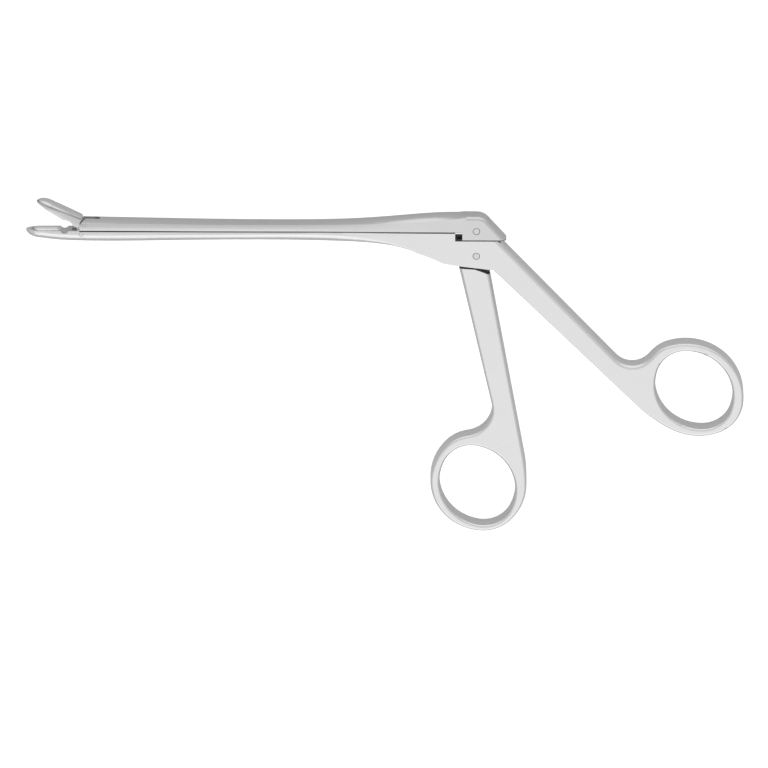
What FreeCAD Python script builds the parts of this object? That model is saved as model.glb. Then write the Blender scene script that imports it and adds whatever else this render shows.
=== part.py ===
import FreeCAD, Part
import math
import os
import re

import Sketcher

# Bone rongeur with ring handles, lying on one side.
# X runs along the shaft, with the jaws towards -X. Y runs across it, with the slide on the +Y side.
# Z is the thickness, counted from the face that the instrument rests on.
# The origin is on the axis of the handle pivot. Lengths are in millimetres, angles in degrees.
# A size that ends in _reach is counted from the handle pivot towards the jaws.

SIZES = {
    # thickness of the body, the rings and the shaft
    "body_thickness": 6.0,
    "shaft_width": 5.2,
    "hip_width": 5.7,
    "shoulder_width": 5.95,
    # stations along the shaft
    "tip_reach": 134.75,
    "bow_length": 4.75,
    "jaw_length": 14.1,
    "nose_gap": 1.95,
    "neck_reach": 95.0,
    "waist_reach": 64.0,
    "swell_reach": 40.0,
    "hip_reach": 28.0,
    "shoulder_reach": 18.0,
    "block_reach": 7.0,
    # the plane where the slide runs on the shaft, and the lower land behind the step
    "seam_height": 7.3,
    "land_height": 4.85,
    "slide_clearance": 0.08,
    "step_reach": 6.35,
    "step_gap": 2.15,
    # depth of the lower shaft below the seam
    "bow_depth": 2.66,
    "cheek_depth": 3.15,
    "front_depth": 3.52,
    "neck_depth": 3.4,
    "waist_depth": 3.04,
    "swell_depth": 3.42,
    "hip_depth": 3.9,
    "shoulder_depth": 6.36,
    "bow_bottom_round": 2.4,
    "shaft_bottom_round": 2.3,
    "hip_bottom_round": 1.2,
    "belly_bottom_round": 0.5,
    "belly_radius": 48.6,
    # the slide's side faces and the crown above them
    "nose_side": 2.5,
    "neck_side": 2.36,
    "waist_side": 2.17,
    "swell_side": 2.4,
    "hip_side": 2.8,
    "shoulder_side": 3.4,
    "block_side": 4.85,
    "nose_crown": 1.15,
    "neck_crown": 0.85,
    "waist_crown": 0.5,
    "swell_crown": 0.7,
    "hip_crown": 1.1,
    "shoulder_crown": 1.45,
    "block_crown": 0.3,
    "nose_round": 2.6,
    "tail_reach_behind": 8.95,
    "tail_slope": 48.3,
    "tail_round": 4.5,
    "tail_edge_round": 1.2,
    # handle pivot, drive pin and the slots for the tang
    "handle_pin_radius": 1.1,
    "drive_arm": 7.9,
    "pin_clearance": 0.05,
    "drive_play": 0.2,
    "tang_slot_width": 2.5,
    "side_clearance": 0.1,
    "tang_half_width": 2.15,
    "tang_root_reach": 3.6,
    "tang_slot_front": 7.2,
    "tang_slot_rear": 6.0,
    "tang_slot_drop": 12.0,
    # jaw linkage
    "jaw_pivot_setback": 2.45,
    "jaw_pivot_drop": 1.0,
    "jaw_arm": 3.23,
    "jaw_opening": 32.5,
    "jaw_pin_radius": 0.6,
    "jaw_slot_width": 1.8,
    "jaw_boss_radius": 1.2,
    "jaw_slot_play": 0.12,
    # jaws: height of the upper one above the seam, cups and the round relief behind them
    "jaw_bow_side": 0.62,
    "jaw_bow_crown": 2.13,
    "jaw_cheek_side": 1.6,
    "jaw_cheek_crown": 1.65,
    "jaw_heel_side": 2.5,
    "jaw_heel_crown": 1.24,
    "rim_gap": 0.05,
    "seam_edge": 0.14,
    "cup_width": 3.5,
    "cup_tip_wall": 1.5,
    "cup_length": 9.35,
    "lower_relief_radius": 1.3,
    "upper_relief_radius": 2.7,
    "relief_setback": 11.55,
    # finger rings: the hole, and the rim whose middle is shifted from the hole's
    "ring_hole_long": 26.5,
    "ring_hole_short": 22.1,
    "oval_end_share": 0.8,
    "front_hole_behind": 0.72,
    "front_hole_drop": 73.65,
    "front_hole_tilt": -63.5,
    "front_rim_long": 31.5,
    "front_rim_short": 28.7,
    "front_rim_tilt": -69.0,
    "front_rim_shift_x": 0.32,
    "front_rim_shift_y": 0.71,
    "rear_hole_behind": 65.55,
    "rear_hole_drop": 42.77,
    "rear_hole_tilt": -54.6,
    "rear_rim_long": 33.1,
    "rear_rim_short": 28.4,
    "rear_rim_tilt": -38.3,
    "rear_rim_shift_x": -0.52,
    "rear_rim_shift_y": 0.05,
    # handle arms
    "front_arm_lean": 12.9,
    "front_arm_rear_lean": 10.4,
    "rear_arm_lean": 46.8,
    "rear_arm_front_lean": 45.0,
    "arm_root_behind": 6.79,
    "crotch_behind": 5.06,
    "crotch_drop": 4.34,
    "chin_flat": 1.06,
    "chin_reach": 4.6,
    "chin_drop": 3.3,
    "belly_reach": 9.95,
    "belly_drop": 2.42,
    "handle_left": 5.12,
    "handle_left_drop": 3.97,
    "handle_right": 4.08,
    "handle_right_drop": 6.1,
    "handle_brow_reach": 0.45,
    "handle_brow_drop": 4.3,
    "handle_brow_round": 40.0,
    "front_neck_round": 8.5,
    "rear_neck_round": 6.5,
    "flank_blend": 45.0,
    "rear_arm_upper_round": 1.3,
    "rear_arm_lower_round": 0.4,
    "front_arm_left_round": 1.2,
    "front_arm_right_round": 1.0,
    "ring_round": 0.8,
    "pin_end_round": 0.2,
    # hidden guide that holds the slide down on the shaft
    "guide_reach": 66.0,
    "guide_length": 6.0,
    "guide_neck_width": 1.2,
    "guide_head_width": 2.4,
    "guide_neck_height": 0.9,
    "guide_head_height": 0.8,
    "guide_sink": 0.25,
}

# places that follow from the sizes above
DERIVED = {
    "bow_reach": "tip_reach - bow_length",
    "jaw_heel_reach": "tip_reach - jaw_length",
    "slide_nose_reach": "jaw_heel_reach - nose_gap",
    "jaw_pivot_reach": "jaw_heel_reach - jaw_pivot_setback",
    "jaw_pivot_height": "seam_height - jaw_pivot_drop",
    "fork_front_reach": "jaw_heel_reach + 0.3",
    "fork_rear_reach": "jaw_pivot_reach - jaw_boss_radius - 0.6",
    "fork_floor": "jaw_pivot_height - jaw_boss_radius - 0.15",
    "slide_fork_reach": "slide_nose_reach - 5.1",
    "cup_tip_reach": "tip_reach - cup_tip_wall",
    "cup_heel_reach": "cup_tip_reach - cup_length",
    "relief_reach": "tip_reach - relief_setback",
    "slide_base": "seam_height + slide_clearance",
    "slide_floor": "land_height + slide_clearance",
    "slide_top": "slide_base + block_side + block_crown",
    "tang_slot_top": "drive_arm + 3.2",
    "slide_stroke": "2 * jaw_arm * sin(jaw_opening / 2)",
}


def formula(text):
    """Turns a formula in plain names into one that reads the sheet."""
    def named(word):
        return "Sizes." + word.group() if word.group() in SIZES or word.group() in DERIVED else word.group()

    return re.sub(r"[a-z][a-z_]*", named, str(text))


def make_sheet(doc):
    """The driving sizes, one row each, with a name beside each number."""
    sheet = doc.addObject("Spreadsheet::Sheet", "Sizes")
    formulas = {name: "=" + text for name, text in DERIVED.items()}
    for row, (name, value) in enumerate({**SIZES, **formulas}.items(), start=1):
        sheet.set(f"A{row}", name)
        sheet.set(f"B{row}", str(value))
        sheet.setAlias(f"B{row}", name)
    doc.recompute()
    return sheet


def size(doc, text):
    """The value of a formula, or of a plain number."""
    if not isinstance(text, str):
        return float(text)
    value = doc.getObject("Sizes").evalExpression(formula(text))
    return float(getattr(value, "Value", value))


def bind(thing, **formulas):
    """Ties properties of an object to formulas; a double underscore stands for a dot."""
    for name, text in formulas.items():
        thing.setExpression(name.replace("__", "."), formula(text))


def hold(sketch, constraint, text):
    """Adds a constraint and ties it to a formula where one is given."""
    row = sketch.addConstraint(constraint)
    if isinstance(text, str):
        sketch.setExpression(f"Constraints[{row}]", formula(text))


def arc_between(start, end, radius):
    """Arc of a circle; a positive radius turns left on the way, a negative one turns right."""
    chord = end - start
    rise = math.sqrt(max(radius ** 2 - (chord.Length / 2) ** 2, 0.0))
    left = FreeCAD.Vector(-chord.y, chord.x, 0) / chord.Length
    centre = (start + end) / 2 + left * math.copysign(rise, radius)
    first, last = (start, end) if radius > 0 else (end, start)
    angles = [math.atan2(p.y - centre.y, p.x - centre.x) for p in (first, last)]
    if angles[1] < angles[0]:
        angles[1] += 2 * math.pi
    circle = Part.Circle(centre, FreeCAD.Vector(0, 0, 1), abs(radius))
    return Part.ArcOfCircle(circle, *angles)


def draw(sketch, corners):
    """Closed outline through corners (x, y), or (x, y, radius) for an arc that arrives there."""
    doc = sketch.Document
    places = [FreeCAD.Vector(size(doc, c[0]), size(doc, c[1]), 0) for c in corners]
    edges = []
    for index, corner in enumerate(corners):
        start, end = places[index - 1], places[index]
        if len(corner) == 2:
            edges.append((sketch.addGeometry(Part.LineSegment(start, end), False), 1, 2))
            continue
        radius = size(doc, corner[2])
        edge = sketch.addGeometry(arc_between(start, end, radius), False)
        edges.append((edge, 1, 2) if radius > 0 else (edge, 2, 1))
    for index, (edge, first, last) in enumerate(edges):
        following = edges[(index + 1) % len(edges)]
        corner, place = corners[index], places[index]
        sketch.addConstraint(Sketcher.Constraint("Coincident", edge, last, following[0], following[1]))
        hold(sketch, Sketcher.Constraint("DistanceX", -1, 1, edge, last, place.x), corner[0])
        hold(sketch, Sketcher.Constraint("DistanceY", -1, 1, edge, last, place.y), corner[1])
        chord = (place - places[index - 1]).Length
        if len(corner) == 3 and chord < 1.999 * abs(size(doc, corner[2])):
            radius = abs(size(doc, corner[2]))
            text = f"abs({corner[2]})" if isinstance(corner[2], str) else radius
            hold(sketch, Sketcher.Constraint("Radius", edge, radius), text)


def add_sketch(body, name, role, outlines, offset="0", lift="0", turn=0.0):
    """Sketch on one of the body's own origin planes, moved along its normal and its own Y."""
    sketch = body.newObject("Sketcher::SketchObject", name)
    plane = [item for item in body.Origin.OriginFeatures if item.Role == role][0]
    sketch.AttachmentSupport = [(plane, "")]
    sketch.MapMode = "FlatFace"
    spin = FreeCAD.Rotation(FreeCAD.Vector(0, 1, 0), turn)
    sketch.AttachmentOffset = FreeCAD.Placement(FreeCAD.Vector(), spin)
    sketch.setExpression("AttachmentOffset.Base.z", formula(offset))
    sketch.setExpression("AttachmentOffset.Base.y", formula(lift))
    for corners in outlines:
        draw(sketch, corners)
    return sketch


def add_loft(body, name, sections):
    """Loft through sketches on planes across the shaft; each section is (x, corners)."""
    sketches = [
        add_sketch(body, f"{name}_{index}", "YZ_Plane", [corners], x)
        for index, (x, corners) in enumerate(sections)
    ]
    loft = body.newObject("PartDesign::AdditiveLoft", name)
    loft.Profile = sketches[0]
    loft.Sections = sketches[1:]
    body.Document.recompute()
    return loft


def add_slice(body, kind, name, outlines, width, role="XY_Plane", offset="body_thickness / 2", turn=0.0):
    """Pad or pocket of outlines, spread evenly to both sides of their plane."""
    before = 0.0 if body.Tip is None else body.Tip.Shape.Volume
    sketch = add_sketch(body, name + "_outline", role, outlines, offset, "0", turn)
    feature = body.newObject("PartDesign::" + kind, name)
    feature.Profile = sketch
    feature.Midplane = True
    bind(feature, Length=width)
    body.Document.recompute()
    grown = feature.Shape.Volume - before
    if grown * (1 if kind == "Pad" else -1) <= 0:
        raise RuntimeError(name + " changes nothing")
    return feature


def rounded_trough(depth, width, radius, edge="seam_edge"):
    """Section of the lower shaft: flat on top with broken edges, upright sides, rounded below."""
    low = f"seam_height - ({depth})"
    near = f"(body_thickness / 2 + ({width}) / 2)"
    far = f"(body_thickness / 2 - ({width}) / 2)"
    return [
        (f"seam_height - {edge}", far),
        ("seam_height", f"{far} + {edge}"),
        ("seam_height", f"{near} - {edge}"),
        (f"seam_height - {edge}", near),
        (f"{low} + {radius}", near),
        (low, f"{near} - {radius}", radius),
        (low, f"{far} + {radius}"),
        (f"{low} + {radius}", far, radius),
    ]


def crowned_bar(side, crown, width, base, edge="seam_edge"):
    """Section of the slide and of the upper jaw: flat below with broken edges, and an arched top."""
    near = f"(body_thickness / 2 + ({width}) / 2)"
    far = f"(body_thickness / 2 - ({width}) / 2)"
    radius = f"(({width}) ^ 2 / 4 + ({crown}) ^ 2) / (2 * ({crown}))"
    return [
        (f"{base} + {edge}", near),
        (base, f"{near} - {edge}"),
        (base, f"{far} + {edge}"),
        (f"{base} + {edge}", far),
        (f"{base} + {side}", far),
        (f"{base} + {side}", near, radius),
    ]


def oval_arcs(centre, half_long, half_short, tilt, end_share):
    """The four arcs of an oval, counter-clockwise, as (centre, radius, first angle, last angle)."""
    end_radius = end_share * half_short
    reach = half_long - end_radius
    flank = (reach ** 2 + half_short ** 2 - end_radius ** 2) / (2 * (half_short - end_radius))
    joint = math.atan2(flank - half_short, reach)
    turn = math.radians(tilt)
    along = FreeCAD.Vector(math.cos(turn), math.sin(turn), 0)
    across = FreeCAD.Vector(-math.sin(turn), math.cos(turn), 0)
    ends = [
        (centre + along * reach, end_radius, -joint, joint),
        (centre - across * (flank - half_short), flank, joint, math.pi - joint),
        (centre - along * reach, end_radius, math.pi - joint, math.pi + joint),
        (centre + across * (flank - half_short), flank, math.pi + joint, 2 * math.pi - joint),
    ]
    return [(c, r, first + turn, last + turn) for c, r, first, last in ends]


def on_circle(centre, radius, angle):
    """Point of a circle at an angle in radians."""
    return centre + FreeCAD.Vector(math.cos(angle), math.sin(angle), 0) * radius


def oval_outline(arcs):
    """Corners of a whole oval."""
    corners = []
    for centre, radius, _, last in arcs:
        place = on_circle(centre, radius, last)
        corners.append((place.x, place.y, radius))
    return corners


def blend(foot, along, outward, radius, arcs):
    """Where a round joins a straight side and an oval: both points and the number of the arc."""
    for number, (centre, arc_radius, first, last) in enumerate(arcs):
        rest = foot + outward * radius - centre
        root = rest.dot(along) ** 2 - rest.dot(rest) + (arc_radius + radius) ** 2
        if root < 0:
            continue
        middle = foot + outward * radius + along * (-rest.dot(along) - math.sqrt(root))
        touch = centre + (middle - centre) * (arc_radius / (arc_radius + radius))
        angle = math.atan2(touch.y - centre.y, touch.x - centre.x)
        while angle < first - 1e-6:
            angle += 2 * math.pi
        if angle <= last + 1e-6:
            return middle - outward * radius, touch, number, angle
    raise RuntimeError("a handle side does not reach its ring")


def arm_and_ring(left_foot, left_angle, left_round, right_foot, right_angle, right_round, arcs):
    """Corners down the left side of an arm, round its ring and up the right side."""
    sides = []
    for foot, angle, radius, hand in (
        (left_foot, left_angle, left_round, -1),
        (right_foot, right_angle, right_round, 1),
    ):
        turn = math.radians(angle)
        along = FreeCAD.Vector(math.cos(turn), math.sin(turn), 0)
        outward = FreeCAD.Vector(-along.y, along.x, 0) * hand
        sides.append(blend(foot, along, outward, radius, arcs))
    leave, touch, number, angle = sides[0]
    back, release, last_number, last_angle = sides[1]
    corners = [(leave.x, leave.y), (touch.x, touch.y, -left_round)]
    while number != last_number or angle > last_angle:
        centre, radius, _, last = arcs[number]
        place = on_circle(centre, radius, last)
        corners.append((place.x, place.y, radius))
        number = (number + 1) % len(arcs)
        angle = arcs[number][2]
        while angle > last_angle + math.pi:
            angle -= 2 * math.pi
    corners.append((release.x, release.y, arcs[last_number][1]))
    corners.append((back.x, back.y, -right_round))
    return corners


def hull(circles):
    """Corners round a row of circles (x, y, radius) given counter-clockwise; radius 0 is a point."""
    corners = []
    for index, (x, y, radius) in enumerate(circles):
        for step, own in ((-1, False), (1, True)):
            ox, oy, other = circles[(index + step) % len(circles)]
            dx, dy = (ox - x, oy - y) if own else (x - ox, y - oy)
            gap = math.hypot(dx, dy)
            shrink = (radius - other) if own else (other - radius)
            side = math.atan2(dy, dx) - math.pi / 2 + math.asin(shrink / gap)
            spot = (x + radius * math.cos(side), y + radius * math.sin(side))
            if own and radius == 0:
                continue
            corners.append(spot + (radius,) if own else spot)
    return corners


def round_off(before, corner, after, radius):
    """Both ends of a round that takes off a corner, the second with its radius."""
    back = (before - corner).normalize()
    ahead = (after - corner).normalize()
    reach = radius / math.tan(back.getAngle(ahead) / 2)
    start = corner + back * reach
    end = corner + ahead * reach
    left_turn = (corner - before).cross(after - corner).z > 0
    return [(start.x, start.y), (end.x, end.y, radius if left_turn else -radius)]


def round_edges(doc, name, base, radius_at):
    """Rounds edges between the wide faces and the sides; radius_at(point) gives 0 where they stay sharp."""
    shape = base.Shape
    rows = []
    for index, edge in enumerate(shape.Edges, start=1):
        faces = shape.ancestorsOfType(edge, Part.Face)
        wide = [abs(face.normalAt(*face.Surface.parameter(face.CenterOfMass)).z) > 0.95 for face in faces]
        radius = radius_at(edge.valueAt((edge.FirstParameter + edge.LastParameter) / 2))
        if len(wide) == 2 and sum(wide) == 1 and radius > 0:
            ends = [edge.valueAt(edge.FirstParameter), edge.valueAt(edge.LastParameter)]
            rows.append((index, radius_at(ends[0]) or radius, radius_at(ends[1]) or radius))
    feature = doc.addObject("Part::Fillet", name)
    feature.Base = base
    feature.Edges = rows
    doc.recompute()
    return feature


def edge_radius(doc, middle, hand, foot, angle, this_side, other_side):
    """Gives the round of an edge at a place: the ring's, that of the side from foot, or the other's."""
    turn = math.radians(angle)
    along = FreeCAD.Vector(math.cos(turn), math.sin(turn), 0)
    reach = size(doc, f"{hand}_rim_long / 2") + 0.05

    def radius_at(place):
        flat = FreeCAD.Vector(place.x, place.y, 0)
        if flat.distanceToPoint(middle) < reach:
            return size(doc, "ring_round")
        return size(doc, this_side if abs((flat - foot).cross(along).z) < 0.05 else other_side)

    return radius_at


def add_body(doc, name):
    """Empty body for a construction step."""
    return doc.addObject("PartDesign::Body", name)


def add_block(doc, name, x, y, z, length, width, height):
    """Block with its lowest corner at x, y, z."""
    block = doc.addObject("Part::Box", name)
    bind(block, Placement__Base__x=x, Placement__Base__y=y, Placement__Base__z=z)
    bind(block, Length=length, Width=width, Height=height)
    return block


def add_rod(doc, name, x, y, radius, width="body_thickness"):
    """Rod through the thickness, even about its middle."""
    rod = doc.addObject("Part::Cylinder", name)
    low = f"body_thickness / 2 - ({width}) / 2"
    bind(rod, Placement__Base__x=x, Placement__Base__y=y, Placement__Base__z=low)
    bind(rod, Radius=radius, Height=width)
    return rod


def join(doc, name, shapes):
    """Several solids made into one."""
    result = doc.addObject("Part::MultiFuse", name)
    result.Shapes = shapes
    result.Refine = True
    doc.recompute()
    return result


def cut(doc, name, base, tools):
    """A solid with other solids taken away, which has to make it smaller."""
    gathered = doc.addObject("Part::MultiFuse", name + "_tools") if len(tools) > 1 else tools[0]
    if len(tools) > 1:
        gathered.Shapes = tools
    result = doc.addObject("Part::Cut", name)
    result.Base = base
    result.Tool = gathered
    result.Refine = True
    doc.recompute()
    if result.Shape.Volume >= base.Shape.Volume:
        raise RuntimeError(name + " takes nothing away")
    return result


def cup_tool(doc, name):
    """Round-ended hollow that is turned about the line where the two jaws meet."""
    tip = -size(doc, "cup_tip_reach")
    heel = -size(doc, "cup_heel_reach")
    half = size(doc, "cup_width / 2")
    swing = half * 1.3
    run = math.sqrt(swing ** 2 - (swing - half) ** 2)
    body = add_body(doc, name)
    outline = [(heel, 0), (heel - run, half, swing), (tip + run, half), (tip, 0, swing)]
    sketch = add_sketch(body, name + "_outline", "XY_Plane", [outline], "body_thickness / 2", "seam_height")
    turned = body.newObject("PartDesign::Revolution", name + "_turned")
    turned.Profile = sketch
    turned.ReferenceAxis = (sketch, ["H_Axis"])
    turned.Angle = 360
    doc.recompute()
    return body


def tip_sections(section):
    """Sections that shrink along an ellipse towards the jaw's tip; section(share) gives corners."""
    sections = []
    for run in (0.0, 0.32, 0.6, 0.82, 0.95, 0.992):
        x = f"-bow_reach - {run} * bow_length"
        sections.append((x, section(round(math.sqrt(1 - run ** 2), 4))))
    return sections


def jaw_pin_place(doc):
    """Middle of the jaw's drive pin at rest, and closed."""
    swing = math.radians(size(doc, "jaw_opening") / 2)
    arm = size(doc, "jaw_arm")
    x = -size(doc, "jaw_pivot_reach")
    y = size(doc, "jaw_pivot_height") + arm * math.cos(swing)
    return (x + arm * math.sin(swing), y), (x - arm * math.sin(swing), y)


def ring_ovals(doc, hand):
    """Arcs of one finger ring's rim and of its hole; hand is rear or front."""
    behind, drop = size(doc, f"{hand}_hole_behind"), -size(doc, f"{hand}_hole_drop")
    shift = size(doc, f"{hand}_rim_shift_x"), size(doc, f"{hand}_rim_shift_y")
    share = size(doc, "oval_end_share")
    middle = FreeCAD.Vector(behind + shift[0], drop + shift[1], 0)
    rim = oval_arcs(middle, size(doc, f"{hand}_rim_long / 2"), size(doc, f"{hand}_rim_short / 2"),
                    size(doc, f"{hand}_rim_tilt"), share)
    hole = oval_arcs(FreeCAD.Vector(behind, drop, 0), size(doc, "ring_hole_long / 2"),
                     size(doc, "ring_hole_short / 2"), size(doc, f"{hand}_hole_tilt"), share)
    return middle, rim, hole


def make_frame(doc):
    """Lower shaft with the lower cup jaw, the body with its ears, the rear arm and its ring."""
    shaft = add_body(doc, "frame_shaft")
    width = "shaft_width"
    round_low = "shaft_bottom_round"
    add_loft(shaft, "frame_shaft_loft", [
        ("-bow_reach", rounded_trough("bow_depth", width, "bow_bottom_round")),
        ("-bow_reach + 4", rounded_trough("cheek_depth", width, round_low)),
        ("-slide_nose_reach", rounded_trough("front_depth", width, round_low)),
        ("-neck_reach", rounded_trough("neck_depth", width, round_low)),
        ("-waist_reach", rounded_trough("waist_depth", width, round_low)),
        ("-swell_reach", rounded_trough("swell_depth", width, round_low)),
        ("-hip_reach", rounded_trough("hip_depth", "hip_width", "hip_bottom_round")),
        ("-shoulder_reach", rounded_trough("shoulder_depth", "body_thickness", "belly_bottom_round")),
    ])
    add_loft(shaft, "frame_tip", tip_sections(lambda share: rounded_trough(
        f"{share} * bow_depth", f"{share} * shaft_width", f"{share} * bow_bottom_round",
        f"{share} * seam_edge")))

    arm = add_body(doc, "frame_arm")
    middle, rim, hole = ring_ovals(doc, "rear")
    seam, land = size(doc, "seam_height"), size(doc, "land_height")
    crotch = FreeCAD.Vector(size(doc, "crotch_behind"), -size(doc, "crotch_drop"), 0)
    root = FreeCAD.Vector(size(doc, "arm_root_behind"), land, 0)
    outline = arm_and_ring(
        crotch, -size(doc, "rear_arm_front_lean"), -size(doc, "flank_blend"),
        root, -size(doc, "rear_arm_lean"), size(doc, "rear_neck_round"), rim,
    )
    outline += [
        ("arm_root_behind", "land_height"),
        ("-step_reach", "land_height"),
        ("-step_reach", "seam_height"),
        ("-shoulder_reach", "seam_height"),
        ("-shoulder_reach", "seam_height - shoulder_depth"),
        ("-belly_reach", "-belly_drop", "-belly_radius"),
        ("-chin_reach", "-chin_drop"),
        ("crotch_behind - chin_flat", "-crotch_drop"),
        ("crotch_behind", "-crotch_drop"),
    ]
    add_slice(arm, "Pad", "frame_plate", [outline], "body_thickness")
    add_slice(arm, "Pocket", "frame_hole", [oval_outline(hole)], "body_thickness + 2")
    on_arm = edge_radius(doc, middle, "rear", root, -size(doc, "rear_arm_lean"),
                         "rear_arm_upper_round", "rear_arm_lower_round")
    seam_edge = size(doc, "seam_edge")

    def radius_at(place):
        if place.x > crotch.x + 1:
            return on_arm(place)
        return seam_edge if place.y > seam - 0.01 else 0

    rounded = round_edges(doc, "frame_rounds", arm, radius_at)
    solid = join(doc, "frame_solid", [shaft, rounded])
    slot = add_block(doc, "frame_tang_slot", "-tang_slot_front", "-tang_slot_drop",
                     "body_thickness / 2 - tang_slot_width / 2", "tang_slot_front + tang_slot_rear",
                     "tang_slot_drop + seam_height + 1", "tang_slot_width")
    fork = add_block(doc, "frame_fork", "-fork_front_reach", "fork_floor",
                     "body_thickness / 2 - jaw_slot_width / 2", "fork_front_reach - fork_rear_reach",
                     "seam_height - fork_floor + 1", "jaw_slot_width")
    through = "body_thickness + 2"
    pivot = add_rod(doc, "frame_pivot_hole", 0, 0, "handle_pin_radius", through)
    jaw_pivot = add_rod(doc, "frame_jaw_hole", "-jaw_pivot_reach", "jaw_pivot_height",
                        "jaw_pin_radius", through)
    relief = add_rod(doc, "frame_relief", "-relief_reach", "seam_height + 0.6",
                     "lower_relief_radius", through)
    cup = cup_tool(doc, "frame_cup")
    groove = guide_tools(doc, "frame_groove", "side_clearance", "slide_stroke + 0.4", "guide_sink")
    return cut(doc, "fixed_frame", solid, [slot, fork, pivot, jaw_pivot, relief, cup] + groove)


def guide_tools(doc, name, clearance, forward, sunk):
    """Neck and head of the hidden guide, or with a clearance the groove that they run in."""
    low = f"seam_height - guide_neck_height - {clearance}"
    start = f"-guide_reach - {clearance} - ({forward})"
    length = f"guide_length + 2 * {clearance} + {forward}"
    neck = add_block(doc, name + "_neck", start, low,
                     f"body_thickness / 2 - guide_neck_width / 2 - {clearance}",
                     length, "guide_neck_height + 1", f"guide_neck_width + 2 * {clearance}")
    head = add_block(doc, name + "_head", start, f"{low} - guide_head_height - {clearance}",
                     f"body_thickness / 2 - guide_head_width / 2 - {clearance}",
                     length, f"guide_head_height + {clearance} + {sunk}",
                     f"guide_head_width + 2 * {clearance}")
    return [neck, head]


def make_slide(doc):
    """Sliding upper bar, with the fork for the jaw in front and the slot for the tang behind."""
    bar = add_body(doc, "slide_bar")
    base = "slide_base"
    width = "shaft_width"
    add_loft(bar, "slide_loft", [
        ("-slide_nose_reach", crowned_bar("nose_side", "nose_crown", width, base)),
        ("-neck_reach", crowned_bar("neck_side", "neck_crown", width, base)),
        ("-waist_reach", crowned_bar("waist_side", "waist_crown", width, base)),
        ("-swell_reach", crowned_bar("swell_side", "swell_crown", width, base)),
        ("-hip_reach", crowned_bar("hip_side", "hip_crown", "hip_width", base)),
        ("-shoulder_reach", crowned_bar("shoulder_side", "shoulder_crown", "shoulder_width", base)),
        ("-block_reach + 4", crowned_bar("block_side", "block_crown", "body_thickness", base)),
    ])
    tail = add_body(doc, "slide_tail")
    front = -size(doc, "step_reach - step_gap")
    floor, top = size(doc, "slide_floor"), size(doc, "slide_top")
    heel = FreeCAD.Vector(size(doc, "tail_reach_behind"), floor, 0)
    lean = math.radians(size(doc, "tail_slope"))
    crest = heel + FreeCAD.Vector(-(top - floor) / math.tan(lean), top - floor, 0)
    head = FreeCAD.Vector(front, top, 0)
    foot = FreeCAD.Vector(front, floor, 0)
    outline = [(foot.x, foot.y), (heel.x, heel.y)]
    outline += round_off(heel, crest, head, size(doc, "tail_round"))
    outline.append((head.x, head.y))
    add_slice(tail, "Pad", "slide_tail_plate", [outline], "body_thickness")
    slope_round = size(doc, "tail_edge_round")
    rounded = round_edges(doc, "slide_tail_slope", tail,
                          lambda p: slope_round if p.y > floor + 0.2 and p.x > crest.x else 0)
    guide = guide_tools(doc, "slide_guide", "0", "0", "0.05")
    solid = join(doc, "slide_solid", [bar, rounded] + guide)

    nose = add_body(doc, "slide_nose")
    edge = -size(doc, "slide_nose_reach")
    over = top + 1
    peak = size(doc, "slide_base + nose_side + nose_crown")
    drop = size(doc, "nose_round")
    add_slice(nose, "Pad", "slide_nose_tool", [[
        (edge - 1, over), (edge - 1, peak - drop), (edge, peak - drop), (edge + drop, peak, -drop),
        (edge + drop, over),
    ]], "body_thickness + 2")
    slot = add_block(doc, "slide_tang_slot", "-tang_half_width - 0.85", "slide_floor - 1",
                     "body_thickness / 2 - tang_slot_width / 2", "2 * tang_half_width + 2.2",
                     "tang_slot_top - slide_floor + 1", "tang_slot_width")
    fork = add_block(doc, "slide_fork", "-slide_nose_reach - 1", "slide_floor",
                     "body_thickness / 2 - jaw_slot_width / 2", "slide_nose_reach - slide_fork_reach + 1",
                     "slide_top - slide_floor", "jaw_slot_width")
    drive = add_rod(doc, "slide_drive_hole", 0, "drive_arm", "handle_pin_radius", "body_thickness + 2")
    (x, y), _ = jaw_pin_place(doc)
    jaw_drive = add_rod(doc, "slide_jaw_hole", x, y, "jaw_pin_radius", "body_thickness + 2")
    return cut(doc, "slide", solid, [nose, slot, fork, drive, jaw_drive])


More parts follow.
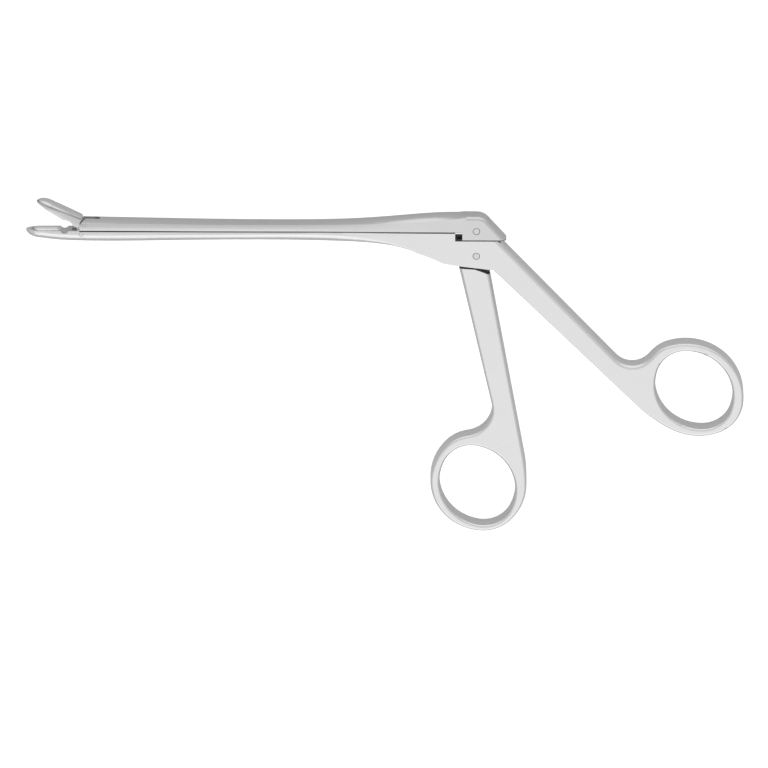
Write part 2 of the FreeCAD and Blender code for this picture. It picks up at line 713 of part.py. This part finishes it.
def make_upper_jaw(doc):
    """Hinged cup jaw with its tang, drawn closed and then swung open about its pivot."""
    cheeks = add_body(doc, "jaw_cheeks")
    base = "seam_height + rim_gap"
    width = "shaft_width"
    add_loft(cheeks, "jaw_loft", [
        ("-bow_reach", crowned_bar("jaw_bow_side", "jaw_bow_crown", width, base)),
        ("-bow_reach + 4", crowned_bar("jaw_cheek_side", "jaw_cheek_crown", width, base)),
        ("-jaw_heel_reach", crowned_bar("jaw_heel_side", "jaw_heel_crown", width, base)),
    ])
    add_loft(cheeks, "jaw_tip", tip_sections(lambda share: crowned_bar(
        f"{share} * jaw_bow_side", f"{share} * jaw_bow_crown", f"{share} * shaft_width", base,
        f"{share} * seam_edge")))
    pivot = (-size(doc, "jaw_pivot_reach"), size(doc, "jaw_pivot_height"))
    _, drive = jaw_pin_place(doc)
    boss = size(doc, "jaw_boss_radius")
    tang = add_body(doc, "jaw_tang")
    root = -size(doc, "jaw_heel_reach") - 0.15
    low = size(doc, "seam_height + rim_gap") + 0.25
    high = low + size(doc, "jaw_heel_side")
    outline = hull([pivot + (boss,), drive + (boss - 0.05,), (root, high, 0), (root, low, 0)])
    add_slice(tang, "Pad", "jaw_tang_plate", [outline], "jaw_slot_width - 2 * side_clearance")
    solid = join(doc, "jaw_solid", [cheeks, tang])

    hole = add_rod(doc, "jaw_hole", *pivot, "jaw_pin_radius + pin_clearance")
    slot = add_body(doc, "jaw_slot")
    reach = FreeCAD.Vector(drive[0] - pivot[0], drive[1] - pivot[1], 0).normalize()
    play = size(doc, "jaw_slot_play")
    ends = [(drive[0] + reach.x * side, drive[1] + reach.y * side) for side in (-play, play)]
    radius = size(doc, "jaw_pin_radius + pin_clearance")
    add_slice(slot, "Pad", "jaw_slot_tool", [hull([e + (radius,) for e in ends])], "body_thickness")
    relief = add_rod(doc, "jaw_relief", "-relief_reach - 0.25", "seam_height - 2.1",
                     "upper_relief_radius", "body_thickness + 2")
    jaw = cut(doc, "upper_jaw", solid, [hole, slot, relief, cup_tool(doc, "jaw_cup")])
    centre = FreeCAD.Vector(*pivot, 0)
    turn = FreeCAD.Rotation(FreeCAD.Vector(0, 0, 1), -size(doc, "jaw_opening"))
    jaw.Placement = FreeCAD.Placement(centre - turn.multVec(centre), turn)
    return jaw


def make_front_handle(doc):
    """Front arm with its ring and the tang that pushes the slide."""
    arm = add_body(doc, "handle_arm")
    middle, rim, hole = ring_ovals(doc, "front")
    left = FreeCAD.Vector(-size(doc, "handle_left"), -size(doc, "handle_left_drop"), 0)
    right = FreeCAD.Vector(size(doc, "handle_right"), -size(doc, "handle_right_drop"), 0)
    lean = size(doc, "front_arm_lean") - 90
    outline = arm_and_ring(
        left, lean, size(doc, "front_neck_round"),
        right, size(doc, "front_arm_rear_lean") - 90, -size(doc, "flank_blend"), rim,
    )
    outline += [
        ("handle_right", "-handle_right_drop"),
        ("-handle_brow_reach", "-handle_brow_drop", "handle_brow_round"),
        ("-handle_left", "-handle_left_drop"),
    ]
    add_slice(arm, "Pad", "handle_plate", [outline], "body_thickness")
    add_slice(arm, "Pocket", "handle_hole", [oval_outline(hole)], "body_thickness + 2")
    on_arm = edge_radius(doc, middle, "front", left, lean, "front_arm_left_round", "front_arm_right_round")
    shoulder_drop = size(doc, "handle_right_drop") + 0.2
    rounded = round_edges(doc, "handle_rounds", arm, lambda p: on_arm(p) if p.y < -shoulder_drop else 0)

    tang = add_body(doc, "handle_tang")
    half = "tang_half_width"
    root = "tang_root_reach"
    rear = "handle_right - 0.05"
    low = "-handle_right_drop - 0.2"
    top = "drive_arm + handle_pin_radius + pin_clearance + drive_play + 1"
    shoulder = f"{top} - {half}"
    add_slice(tang, "Pad", "handle_tang_plate", [[
        (f"-{root}", low), (rear, low), (rear, -2.5), (half, 1.5), (half, shoulder),
        (f"-{half}", shoulder, half), (f"-{half}", 1.5), (f"-{root}", -1.5),
    ]], "tang_slot_width - 2 * side_clearance")
    solid = join(doc, "handle_solid", [rounded, tang])
    pin_hole = add_rod(doc, "handle_hole_rod", 0, 0, "handle_pin_radius + pin_clearance")
    slot = add_body(doc, "handle_drive_slot")
    radius = size(doc, "handle_pin_radius + pin_clearance")
    centre = size(doc, "drive_arm") + 0.1
    play = size(doc, "drive_play")
    ends = [(0.0, centre - play, radius), (0.0, centre + play, radius)]
    add_slice(slot, "Pad", "handle_slot_tool", [hull(ends)], "body_thickness")
    return cut(doc, "front_handle", solid, [pin_hole, slot])


def make_pin(doc, name, x, y, radius, width="body_thickness"):
    """Pin with both of its ends rounded a little."""
    rod = add_rod(doc, name + "_rod", x, y, radius, width)
    doc.recompute()
    pin = doc.addObject("Part::Fillet", name)
    pin.Base = rod
    end = size(doc, "pin_end_round")
    rims = [n for n, edge in enumerate(rod.Shape.Edges, start=1) if isinstance(edge.Curve, Part.Circle)]
    pin.Edges = [(n, end, end) for n in rims]
    doc.recompute()
    return pin


def make_pins(doc):
    """The two handle pins and the two small jaw pins, all flush with the parts that hold them."""
    (x, y), _ = jaw_pin_place(doc)
    small, wide = "jaw_pin_radius", "shaft_width"
    return [
        make_pin(doc, "handle_pivot_pin", 0, 0, "handle_pin_radius"),
        make_pin(doc, "slide_drive_pin", 0, "drive_arm", "handle_pin_radius"),
        make_pin(doc, "jaw_pivot_pin", "-jaw_pivot_reach", "jaw_pivot_height", small, wide),
        make_pin(doc, "jaw_drive_pin", x, y, small, wide),
    ]


def write_parts(doc, parts):
    """Checks every object and writes one file for each sub-part."""
    doc.recompute()
    for thing in doc.Objects:
        if "Invalid" in thing.State or "Error" in thing.State:
            raise RuntimeError(thing.Name + " is not right")
    os.makedirs("parts", exist_ok=True)
    for thing in parts:
        shape = thing.Shape
        if shape.isNull() or not shape.isValid() or len(shape.Solids) != 1:
            raise RuntimeError(thing.Name + " is not one sound solid")
        thing.Label = thing.Name
        shape.exportStep(f"parts/{thing.Name}.step")


def main():
    """Builds the whole instrument at rest, with its jaws open."""
    doc = FreeCAD.newDocument("rongeur")
    make_sheet(doc)
    parts = [make_frame(doc), make_slide(doc), make_upper_jaw(doc), make_front_handle(doc)]
    write_parts(doc, parts + make_pins(doc))


main()
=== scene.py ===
import math

import bpy
from mathutils import Matrix, Vector

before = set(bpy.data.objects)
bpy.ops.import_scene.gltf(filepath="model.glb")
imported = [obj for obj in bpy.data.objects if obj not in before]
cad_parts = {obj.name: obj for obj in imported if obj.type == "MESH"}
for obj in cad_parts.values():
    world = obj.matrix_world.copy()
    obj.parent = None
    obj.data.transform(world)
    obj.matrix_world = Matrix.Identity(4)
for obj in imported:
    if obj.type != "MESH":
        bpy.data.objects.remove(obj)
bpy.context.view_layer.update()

MM = 0.001

# camera: the photograph looks down at the side of the instrument, tilted towards the slide
CAMERA_TILT = math.radians(21)
CAMERA_ROLL = 0.0035
PHOTO_WIDTH = 230.4 * MM
PHOTO_MIDDLE = Vector((-27.48, -41.02, 6.0)) * MM
LENS = 800
SENSOR = 36

# floor and surroundings
FLOOR_HALF = 1500 * MM
FLOOR_DROP = 0.05 * MM
FLOOR_GLOW_FOR_CAMERA = 0.9
FLOOR_GLOW_FOR_METAL = 0.22
# turn in degrees, where a panel begins and is full as a cosine, and its strength
PANELS = ((-48, 0.80, 0.97, 0.50), (90, 0.40, 0.88, 0.48))
SKY_LOW, SKY_HIGH = 0.48, 0.74

# steel
CLOUD_SIZE = 9 * MM
GRAIN_HEIGHT = 0.01 * MM
CROWN_REACH = 2.6 * MM
# near-black of the dark lines of painted shade on the steel
SHADE_LINE_COLOUR = "#1C1B1A"


def add_camera():
    """A long lens at the photograph's angle."""
    data = bpy.data.cameras.new("camera")
    data.lens = LENS
    data.sensor_width = SENSOR
    camera = bpy.data.objects.new("camera", data)
    bpy.context.scene.collection.objects.link(camera)
    up = Vector((0, math.cos(CAMERA_TILT), -math.sin(CAMERA_TILT)))
    back = Vector((0, math.sin(CAMERA_TILT), math.cos(CAMERA_TILT)))
    right = (Vector((1, 0, 0)) + up * CAMERA_ROLL).normalized()
    up = back.cross(right)
    distance = PHOTO_WIDTH / 2 / (SENSOR / 2 / LENS)
    turn = Matrix((right, up, back)).transposed().to_4x4()
    camera.matrix_world = Matrix.Translation(PHOTO_MIDDLE + back * distance) @ turn
    data.clip_start = distance * 0.5
    data.clip_end = distance * 4
    bpy.context.scene.camera = camera


def linear(hex_colour):
    """Linear colour from an sRGB hex value."""
    values = [int(hex_colour[i:i + 2], 16) / 255 for i in (1, 3, 5)]
    return tuple(v / 12.92 if v <= 0.04045 else ((v + 0.055) / 1.055) ** 2.4 for v in values) + (1.0,)


def add_node(tree, kind, links=None, **settings):
    """One shader node with its settings; links maps an input to another node's output."""
    node = tree.nodes.new(kind)
    for name, value in settings.items():
        if hasattr(node, name):
            setattr(node, name, value)
        else:
            node.inputs[name.replace("_", " ")].default_value = value
    for name, output in (links or {}).items():
        tree.links.new(output, node.inputs[name])
    return node


def new_material(name):
    """Empty node material and its tree."""
    material = bpy.data.materials.new(name)
    material.use_nodes = True
    material.node_tree.nodes.clear()
    return material, material.node_tree


def math_node(tree, operation, first, second=0.0, third=0.0):
    """One calculation; each value is a number or another node's output."""
    node = add_node(tree, "ShaderNodeMath", operation=operation)
    for socket, value in zip(node.inputs, (first, second, third)):
        if isinstance(value, (int, float)):
            socket.default_value = value
        else:
            tree.links.new(value, socket)
    return node.outputs["Value"]


def spread(tree, value, low, high, to_low, to_high, smooth=True):
    """A value carried from one range to another and held at its ends."""
    node = add_node(tree, "ShaderNodeMapRange", {"Value": value})
    node.interpolation_type = "SMOOTHSTEP" if smooth else "LINEAR"
    for name, number in (("From Min", low), ("From Max", high), ("To Min", to_low), ("To Max", to_high)):
        node.inputs[name].default_value = number
    return node.outputs["Result"]


def along(tree, vector, direction):
    """How far a place or a direction reaches along another direction."""
    node = add_node(tree, "ShaderNodeVectorMath", {0: vector}, operation="DOT_PRODUCT")
    node.inputs[1].default_value = direction
    return node.outputs["Value"]


def reach_of(tree, place, mark):
    """How far a place reaches along a direction, or how far it is from an upright axis at x, y in mm."""
    if len(mark) == 3:
        return along(tree, place, mark)
    flat = add_node(tree, "ShaderNodeVectorMath", {0: place}, operation="MULTIPLY")
    flat.inputs[1].default_value = (1, 1, 0)
    gap = add_node(tree, "ShaderNodeVectorMath", {0: flat.outputs["Vector"]}, operation="DISTANCE")
    gap.inputs[1].default_value = (mark[0] * MM, mark[1] * MM, 0)
    return gap.outputs["Value"]


def crowned_sides(tree, place, crown):
    """Height of a side that belt polishing left slightly rounded, in metres."""
    direction, offset_mm, still_mm, sharpness, keep_mm, fade_mm = crown
    height = math_node(tree, "ADD", along(tree, place, direction), (offset_mm - still_mm) * MM)
    height = math_node(tree, "MINIMUM", height, CROWN_REACH)
    square = math_node(tree, "MULTIPLY", math_node(tree, "ABSOLUTE", height), height)
    here = spread(tree, along(tree, place, (1, 0, 0)), keep_mm * MM, fade_mm * MM, -sharpness / 2, 0.0)
    return math_node(tree, "MULTIPLY", math_node(tree, "ABSOLUTE", square), here)


def beside_shade_lines(tree, place, lines):
    """How much of the steel's colour is left beside the dark lines of painted shade on it.

    Each line is the place where all its reaches overlap. A reach is a direction or an axis, the
    distances in mm between which it grows, and its strength.
    """
    left = 1.0
    for reaches in lines:
        dark = 1.0
        for mark, start_mm, end_mm, strength in reaches:
            reach = spread(tree, reach_of(tree, place, mark), start_mm * MM, end_mm * MM, 0.0, strength)
            dark = math_node(tree, "MULTIPLY", reach, dark)
        left = math_node(tree, "MULTIPLY", math_node(tree, "SUBTRACT", 1.0, dark), left)
    return left


def steel(name, colour, rough, grain_mm, grain_along, grain_depth, crown=None, lines=()):
    """Stainless steel with a fine grain that runs along one direction."""
    material, tree = new_material(name)
    place = add_node(tree, "ShaderNodeTexCoord").outputs["Object"]
    stretch = add_node(tree, "ShaderNodeMapping", {"Vector": place})
    stretch.inputs["Scale"].default_value = [1 / (grain_mm * MM) * s for s in grain_along]
    grain = add_node(tree, "ShaderNodeTexNoise", {"Vector": stretch.outputs["Vector"]}, Scale=1.0, Detail=3.0)
    cloud = add_node(tree, "ShaderNodeTexNoise", {"Vector": place}, Scale=1 / CLOUD_SIZE, Detail=2.0)
    uneven = spread(tree, cloud.outputs["Fac"], 0.0, 1.0, rough - 0.05, rough + 0.06, False)
    bump = add_node(tree, "ShaderNodeBump", {"Height": grain.outputs["Fac"]})
    bump.inputs["Strength"].default_value = grain_depth
    bump.inputs["Distance"].default_value = GRAIN_HEIGHT
    normal = bump.outputs["Normal"]
    if crown:
        height = crowned_sides(tree, place, crown)
        shape = add_node(tree, "ShaderNodeBump", {"Height": height, "Normal": normal})
        shape.inputs["Strength"].default_value = 1.0
        shape.inputs["Distance"].default_value = 1.0
        normal = shape.outputs["Normal"]
    metal = add_node(tree, "ShaderNodeBsdfPrincipled", {"Roughness": uneven, "Normal": normal})
    metal.inputs["Base Color"].default_value = linear(colour)
    # painted shade: along the lines the base colour darkens towards the line colour
    if lines:
        tint = add_node(tree, "ShaderNodeMix", {"Factor": beside_shade_lines(tree, place, lines)}, data_type="RGBA")
        tint.inputs[6].default_value = linear(SHADE_LINE_COLOUR)
        tint.inputs[7].default_value = linear(colour)
        tree.links.new(tint.outputs[2], metal.inputs["Base Color"])
    metal.inputs["Metallic"].default_value = 1.0
    add_node(tree, "ShaderNodeOutputMaterial", {"Surface": metal.outputs["BSDF"]})
    return material


def add_floor():
    """Wide pale floor; the camera sees it white, and the metal sees it as an even middle grey."""
    material, tree = new_material("white_paper_floor")
    matt = add_node(tree, "ShaderNodeBsdfDiffuse")
    matt.inputs["Color"].default_value = linear("#B4B4B4")
    path = add_node(tree, "ShaderNodeLightPath").outputs
    seen = math_node(tree, "MULTIPLY", path["Is Camera Ray"], FLOOR_GLOW_FOR_CAMERA)
    lift = math_node(tree, "MULTIPLY_ADD", path["Is Glossy Ray"], FLOOR_GLOW_FOR_METAL, seen)
    glow = add_node(tree, "ShaderNodeEmission", {"Strength": lift})
    both = add_node(tree, "ShaderNodeAddShader")
    tree.links.new(matt.outputs["BSDF"], both.inputs[0])
    tree.links.new(glow.outputs["Emission"], both.inputs[1])
    add_node(tree, "ShaderNodeOutputMaterial", {"Surface": both.outputs["Shader"]})
    mesh = bpy.data.meshes.new("floor")
    corners = [(x * FLOOR_HALF, y * FLOOR_HALF, 0) for x, y in ((-1, -1), (1, -1), (1, 1), (-1, 1))]
    mesh.from_pydata(corners, [], [(0, 1, 2, 3)])
    mesh.materials.append(material)
    floor = bpy.data.objects.new("floor", mesh)
    floor.location.z = -FLOOR_DROP
    bpy.context.scene.collection.objects.link(floor)


def add_world():
    """Studio surroundings: greyer at the horizon and overhead, with a bright panel on either side."""
    world = bpy.data.worlds.new("studio")
    bpy.context.scene.world = world
    world.use_nodes = True
    tree = world.node_tree
    tree.nodes.clear()
    sight = add_node(tree, "ShaderNodeTexCoord").outputs["Generated"]
    total = spread(tree, along(tree, sight, (0, 0, 1)), 0.0, 0.9, SKY_LOW, SKY_HIGH, False)
    for angle, edge, full, strength in PANELS:
        turn = math.radians(angle)
        near = along(tree, sight, (0, math.sin(turn), math.cos(turn)))
        total = math_node(tree, "ADD", total, spread(tree, near, edge, full, 0.0, strength))
    camera_ray = add_node(tree, "ShaderNodeLightPath").outputs["Is Camera Ray"]
    white = math_node(tree, "MAXIMUM", total, camera_ray)
    back = add_node(tree, "ShaderNodeBackground", {"Strength": white})
    back.inputs["Color"].default_value = (1, 1, 1, 1)
    add_node(tree, "ShaderNodeOutputWorld", {"Surface": back.outputs["Background"]})


add_camera()

X, Y, Z = (1, 0, 0), (0, 1, 0), (0, 0, 1)

# the open upper jaw: its up and along directions, and its hinge
JAW_TURN = math.radians(32.5)
JAW_UP = (math.sin(JAW_TURN), math.cos(JAW_TURN), 0)
JAW_ALONG = (math.cos(JAW_TURN), -math.sin(JAW_TURN), 0)
JAW_PIVOT_MM = (-118.2, 6.3)
JAW_SHIFT_MM = JAW_PIVOT_MM[1] - JAW_UP[0] * JAW_PIVOT_MM[0] - JAW_UP[1] * JAW_PIVOT_MM[1]

# the line where the jaw's side meets its arched top rises towards the heel
CREASE_RISE = 0.17
CREASE_RUN_MM, CREASE_HEIGHT_MM = 11.8, 2.6
JAW_CREASE = tuple(up - CREASE_RISE * run for up, run in zip(JAW_UP, JAW_ALONG))
JAW_CREASE_MM = (sum(c * v for c, v in zip(JAW_CREASE, (*JAW_PIVOT_MM, 0)))
                 + CREASE_HEIGHT_MM + CREASE_RISE * CREASE_RUN_MM)

# axes in mm
SLIDE_NOSE = (-116.1, 8.43)
HANDLE_PIN, SLIDE_PIN = (0, 0), (0, 7.9)

# where a line along the shaft is held, or grows, along the instrument
BEHIND_JAW = (X, -119.0, -118.4, 1.0)
TOWARDS_JAWS = (X, -80, -112, 1.0)
TOWARDS_BODY = (X, -40, -12, 1.0)
BEFORE_STEP = (X, -6.2, -6.4, 1.0)


def seam(start_mm, end_mm, strength, *limits):
    """A line of painted shade along the joint between the shaft and the slide."""
    return ((Y, start_mm, end_mm, strength), *limits)


def slot_end(strength, *limits):
    """Painted shade that stands in for the rear end of the slot on the slide's nose, beyond the modelled
    slot.
    """
    return ((Z, 1.96, 2.04, strength), (Z, 4.04, 3.96, 1.0), (X, -112.5, -112.8, 1.0), *limits,
            (Y, 10.2, 10.5, 1.0))


# fine satin finish of the forged parts, rubbed along the shaft
GRAIN = (0.05, 1.0, 1.0)
SATIN = (0.25, 0.12, GRAIN, 0.25)

# rubbed handle, with the shadow inside the body's opening
HANDLE_LINES = (
    ((Y, -6.6, -6.2, 0.9), (Y, -2.0, -2.6, 1.0), (Z, 4.9, 4.4, 1.0)),
)
# belt-polished frame, with painted shade in the joint under the slide and under its tail
FRAME_CROWN = (Y, 0.0, 5.9, 90.0, -60, -20)
FRAME_LINES = (
    seam(7.08, 7.18, 0.55, BEHIND_JAW),
    seam(7.08, 7.18, 0.65, BEHIND_JAW, TOWARDS_JAWS),
    seam(7.08, 7.18, 0.5, TOWARDS_BODY),
    seam(4.62, 4.78, 0.9, (Y, 5.0, 4.86, 1.0), (X, -6.4, -6.3, 1.0), (X, 9.2, 8.8, 1.0)),
)
# belt-polished slide, with painted shade in the same joints, at the rear end of its slot and round its nose
SLIDE_CROWN = (Y, 0.0, 8.2, 105.0, -60, -20)
SLIDE_LINES = (
    seam(7.62, 7.50, 0.55, BEFORE_STEP),
    seam(7.62, 7.50, 0.65, TOWARDS_JAWS),
    seam(7.62, 7.50, 0.5, TOWARDS_BODY, BEFORE_STEP),
    seam(5.14, 5.0, 0.9),
    # painted shade at the rear end of the slot
    slot_end(0.6, (X, -114.1, -113.9, 1.0)),
    slot_end(0.4),
    # painted shade round the nose, next to the jaw's heel
    ((SLIDE_NOSE, 2.48, 2.58, 0.8), (X, -116.2, -117.0, 1.0), (Y, 8.4, 9.4, 1.0)),
)
# polished jaw, with painted shade as a dark line along its crease
JAW_CROWN = (JAW_UP, JAW_SHIFT_MM, 7.6, 90.0, -60, -20)
JAW_LINES = (
    ((JAW_CREASE, JAW_CREASE_MM - 0.7, JAW_CREASE_MM - 0.25, 0.5),
     (JAW_CREASE, JAW_CREASE_MM + 0.15, JAW_CREASE_MM - 0.1, 1.0)),
)
# pin ends ground flush, with painted shade on their rounded rim
PIN_LINES = [((pin, 0.78, 0.98, 0.5), (pin, 2.0, 1.8, 1.0)) for pin in (HANDLE_PIN, SLIDE_PIN)]

PIN = steel("ground_pin_steel", "#D8D7D7", 0.24, 0.10, (1.0, 1.0, 1.0), 0.2, None, PIN_LINES)
finishes = {
    "front_handle": steel("satin_steel_handle", "#E5E4E4", *SATIN, None, HANDLE_LINES),
    "fixed_frame": steel("satin_steel_frame", "#E5E4E4", *SATIN, FRAME_CROWN, FRAME_LINES),
    "slide": steel("satin_steel_slide", "#D8D7D7", *SATIN, SLIDE_CROWN, SLIDE_LINES),
    "upper_jaw": steel("satin_steel_jaw", "#DEDDDD", 0.22, *SATIN[1:], JAW_CROWN, JAW_LINES),
}
for name in ("handle_pivot_pin", "slide_drive_pin"):
    finishes[name] = PIN
finishes["jaw_pivot_pin"] = finishes["fixed_frame"]
finishes["jaw_drive_pin"] = finishes["slide"]
for name, material in finishes.items():
    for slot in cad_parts[name].material_slots:
        slot.material = material

add_floor()
add_world()

scene = bpy.context.scene
scene.view_settings.view_transform = "Standard"
